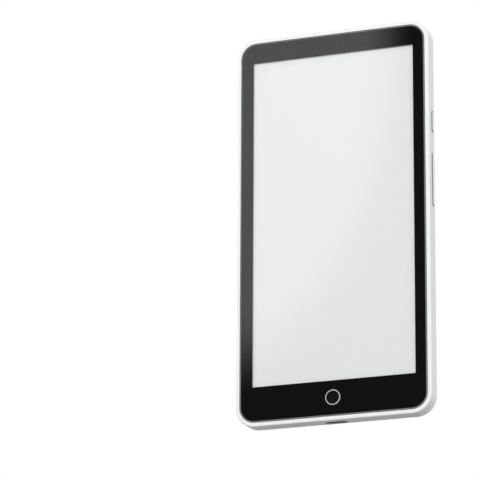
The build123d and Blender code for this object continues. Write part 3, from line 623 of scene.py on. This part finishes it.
pick(weave, "VERT", on_ridge)
bpy.ops.transform.translate(value=(0, ridge_height, 0))
bpy.ops.object.mode_set(mode="OBJECT")
for count, offset in ((weave_columns, (weave_wide, 0, 0)), (weave_rows, (0, 0, weave_high))):
    repeat = weave.modifiers.new("repeat", "ARRAY")
    repeat.count = count
    repeat.use_relative_offset = False
    repeat.use_constant_offset = True
    repeat.constant_offset_displace = offset
    repeat.use_merge_vertices = True
    repeat.merge_threshold = 0.002 * MM
    bpy.ops.object.modifier_apply(modifier=repeat.name)

# Straight cuts round each corner's centre trim the weave just clear of the panel's margin.
trim_corner = panel_corner - panel_margin - weave_gap
bpy.ops.object.mode_set(mode="EDIT")
for x_way in (-1, 1):
    for z_way in (-1, 1):
        hub_x = panel_mid.x + x_way * (panel_size.x / 2 - panel_corner)
        hub_z = panel_mid.z + z_way * (panel_size.z / 2 - panel_corner)
        hub = Vector((hub_x, weave_level, hub_z))
        for lean in (math.radians(90 * k / 8) for k in range(9)):
            away = Vector((x_way * math.cos(lean), 0, z_way * math.sin(lean)))
            bpy.ops.mesh.select_all(action="SELECT")
            bpy.ops.mesh.bisect(
                plane_co=hub + away * trim_corner, plane_no=away, clear_outer=True, threshold=1e-7
            )

# Its open edge is levelled, carried down as a skirt and closed to one point underneath.
bpy.ops.mesh.select_mode(type="EDGE")
bpy.ops.mesh.select_all(action="DESELECT")
bpy.ops.mesh.select_non_manifold(
    extend=False, use_wire=False, use_multi_face=False, use_non_contiguous=False, use_verts=False
)
bpy.ops.transform.resize(value=(1, 0, 1), center_override=(0, panel_high.y - 0.05 * MM, 0))
bpy.ops.mesh.extrude_edges_move(TRANSFORM_OT_translate={"value": (0, -skirt_depth, 0)})
bpy.ops.mesh.extrude_edges_move(TRANSFORM_OT_translate={"value": (0, 0, 0)})
bpy.ops.mesh.merge(type="CENTER")
bpy.ops.mesh.select_all(action="SELECT")
bpy.ops.mesh.normals_make_consistent(inside=False)
bpy.ops.object.mode_set(mode="OBJECT")
bpy.ops.object.shade_smooth_by_angle(angle=math.radians(50))
bpy.ops.object.select_all(action="DESELECT")
panel.select_set(True)
bpy.context.view_layer.objects.active = panel
bpy.ops.object.shade_smooth_by_angle(angle=math.radians(35))
weave.select_set(True)
bpy.ops.object.join()

woven_moulding = new_material("woven_moulding", 0.42, Coat_Weight=0.06, Coat_Roughness=0.3)
# Painted shade: the face is coloured darker the deeper it sinks, so the dimples look shaded.
woven_depth = add_node(woven_moulding, "SeparateXYZ")
wire(woven_moulding, (place(woven_moulding), woven_depth.inputs["Vector"]))
woven_bottom, woven_top = panel_high.y - 0.36 * MM, panel_high.y - 0.08 * MM
woven_hollow_shade = span(woven_moulding, woven_depth.outputs["Y"], woven_bottom, woven_top, 0.0, 1.0)
woven_shade_mask = woven_hollow_shade.outputs["Result"]
two_tone(woven_moulding, woven_shade_mask, (0.50, 0.505, 0.51), (0.86, 0.863, 0.865), 0.0, 0.75)
woven_grain = grain(woven_moulding, 0.0002, 4.0)
polish(woven_moulding, woven_grain, 0.38, 0.5)
relief(woven_moulding, woven_grain, 0.000004)
panel.data.materials.clear()
panel.data.materials.append(woven_moulding)
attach(panel, "reader")
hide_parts("rear_panel")

# ---- Floor, lights and camera ---------------------------------------------------------------
# A plain pale floor, seen only from above and fading out at its rim, under one large soft lamp
# from the front left, a second from the front right, a fill and one from behind. The room
# itself is white.

floor = add_piece(
    "floor",
    bpy.ops.mesh.primitive_circle_add,
    vertices=96,
    radius=2.6,
    fill_type="NGON",
    location=(0, 0, -0.0003),
)
floor_paint = new_material("floor_paint", 0.9)
two_tone(floor_paint, grain(floor_paint, 0.4), (0.80, 0.80, 0.80), (0.83, 0.83, 0.83))
floor_nodes = floor_paint.node_tree.nodes
floor_open = add_node(floor_paint, "BsdfTransparent")
floor_both = add_node(floor_paint, "MixShader")
floor_rays = add_node(floor_paint, "LightPath")
floor_side = add_node(floor_paint, "NewGeometry")
floor_far = add_node(floor_paint, "VectorMath")
floor_far.operation = "LENGTH"
floor_fade = span(floor_paint, floor_far.outputs["Value"], 0.35, 2.5, 0.0, 1.0)
floor_fade.interpolation_type = "SMOOTHSTEP"
floor_most, floor_any = add_node(floor_paint, "Math"), add_node(floor_paint, "Math")
floor_most.operation = floor_any.operation = "MAXIMUM"
wire(
    floor_paint,
    (place(floor_paint), floor_far.inputs[0]),
    (floor_side.outputs["Backfacing"], floor_most.inputs[0]),
    (floor_fade.outputs["Result"], floor_most.inputs[1]),
    (floor_most.outputs["Value"], floor_any.inputs[0]),
    (floor_rays.outputs["Is Diffuse Ray"], floor_any.inputs[1]),
    (floor_any.outputs["Value"], floor_both.inputs["Fac"]),
    (floor_nodes["Principled BSDF"].outputs["BSDF"], floor_both.inputs[1]),
    (floor_open.outputs["BSDF"], floor_both.inputs[2]),
    (floor_both.outputs["Shader"], floor_nodes["Material Output"].inputs["Surface"]),
)
floor.data.materials.append(floor_paint)

yaw, pitch, roll = math.radians(21), math.radians(-16.91), math.radians(0.34)
aim = Vector((0, -0.0038, 0.0795))
camera_distance = 1.362
camera_left, camera_down = 0.03596, 0.00705
back = Vector((math.sin(yaw) * math.cos(pitch), -math.cos(yaw) * math.cos(pitch), math.sin(pitch)))
level = Vector((math.cos(yaw), math.sin(yaw), 0))
upright = back.cross(level)
side = level * math.cos(roll) + upright * math.sin(roll)
rise = upright * math.cos(roll) - level * math.sin(roll)
bpy.ops.object.camera_add(
    location=aim + back * camera_distance - side * camera_left - rise * camera_down
)
camera = bpy.context.object
camera.rotation_mode = "QUATERNION"
camera.rotation_quaternion = Matrix((side, rise, back)).transposed().to_quaternion()
camera.data.sensor_width = 36
camera.data.lens = 262.1
camera.data.clip_start, camera.data.clip_end = 0.01, 100
bpy.context.scene.camera = camera


def add_lamp(name, at, size, power):
    """A round soft lamp that points at the middle of the reader."""
    bpy.ops.object.select_all(action="DESELECT")
    bpy.ops.object.light_add(type="AREA", location=at)
    lamp = bpy.context.object
    lamp.name = name
    lamp.data.shape = "DISK"
    lamp.data.size = size
    lamp.data.energy = power
    lamp.rotation_mode = "QUATERNION"
    lamp.rotation_quaternion = (Vector(at) - aim).to_track_quat("Z", "Y")
    return lamp


add_lamp("key_lamp", (-0.25, -1.35, 0.6), 0.9, 8.3).visible_glossy = False
add_lamp("front_lamp", (0.45, -1.4, 0.15), 1.0, 6.2).visible_glossy = False
add_lamp("fill_lamp", (1.8, -0.3, 0.1), 0.8, 7)
add_lamp("back_lamp", (-1.2, 1.0, 0.6), 0.6, 15)

# The glass mirrors one soft white card that hangs just outside the view. Its light is an oval
# with a soft edge, set to one side of the card's middle.
card_distance = 0.6
oval_wide, oval_high = 0.105, 0.176
oval_x, oval_y = 0.059, -0.100
mirror = Vector((-back.x, back.y, -back.z))
card_right = Vector((mirror.y, -mirror.x, 0)).normalized()
card_up = mirror.cross(card_right)
bpy.ops.object.select_all(action="DESELECT")
bpy.ops.mesh.primitive_plane_add(size=0.9, location=aim + mirror * card_distance)
card = bpy.context.object
card.name = "soft_card"
card.rotation_mode = "QUATERNION"
card.rotation_quaternion = Matrix((card_right, card_up, mirror)).transposed().to_quaternion()
card.visible_camera = card.visible_diffuse = card.visible_shadow = card.visible_transmission = False
card_light = bpy.data.materials.new("card_light")
card_light.use_nodes = True
card_nodes = card_light.node_tree.nodes
card_nodes.remove(card_nodes["Principled BSDF"])
card_glow = add_node(card_light, "Emission")
card_where = add_node(
    card_light,
    "Mapping",
    Scale=(1 / oval_wide, 1 / oval_high, 1),
    Location=(-oval_x / oval_wide, -oval_y / oval_high, 0),
)
card_far = add_node(card_light, "VectorMath")
card_far.operation = "LENGTH"
card_edge = span(card_light, card_far.outputs["Value"], 0.86, 1.14, 1.85, 0.08)
card_edge.interpolation_type = "SMOOTHSTEP"
wire(
    card_light,
    (add_node(card_light, "TexCoord").outputs["Object"], card_where.inputs["Vector"]),
    (card_where.outputs["Vector"], card_far.inputs[0]),
    (card_edge.outputs["Result"], card_glow.inputs["Strength"]),
    (card_glow.outputs["Emission"], card_nodes["Material Output"].inputs["Surface"]),
)
card.data.materials.append(card_light)

# The room looks white to the camera. It lights the reader more from above than from below,
# and what is glossy mirrors it brighter from behind and from the right than from the front.
room = bpy.data.worlds.new("room")
room.use_nodes = True
bpy.context.scene.world = room
room_shader = room.node_tree.nodes["Background"]
room_shader.inputs["Color"].default_value = (1, 1, 1, 1)
room_rays = add_node(room, "LightPath")
room_parts = add_node(room, "SeparateXYZ")
room_turn = add_node(room, "Math")
room_turn.operation = "MULTIPLY_ADD"
room_turn.inputs[1].default_value = 0.5
room_height = span(room, room_parts.outputs["Z"], -0.3, 0.3, 0.40, 0.62)
room_shine = span(room, room_turn.outputs["Value"], -0.75, 0.2, 0.08, 1.2)
room_height.interpolation_type = room_shine.interpolation_type = "SMOOTHSTEP"
room_soft, room_all = add_node(room, "Mix"), add_node(room, "Mix")
room_all.inputs["B"].default_value = 1.0
wire(
    room,
    (add_node(room, "TexCoord").outputs["Generated"], room_parts.inputs["Vector"]),
    (room_parts.outputs["X"], room_turn.inputs[0]),
    (room_parts.outputs["Y"], room_turn.inputs[2]),
    (room_rays.outputs["Is Glossy Ray"], room_soft.inputs["Factor"]),
    (room_height.outputs["Result"], room_soft.inputs["A"]),
    (room_shine.outputs["Result"], room_soft.inputs["B"]),
    (room_rays.outputs["Is Camera Ray"], room_all.inputs["Factor"]),
    (room_soft.outputs["Result"], room_all.inputs["A"]),
    (room_all.outputs["Result"], room_shader.inputs["Strength"]),
)
bpy.context.scene.view_settings.view_transform = "Standard"
bpy.context.scene.cycles.transparent_max_bounces = 32
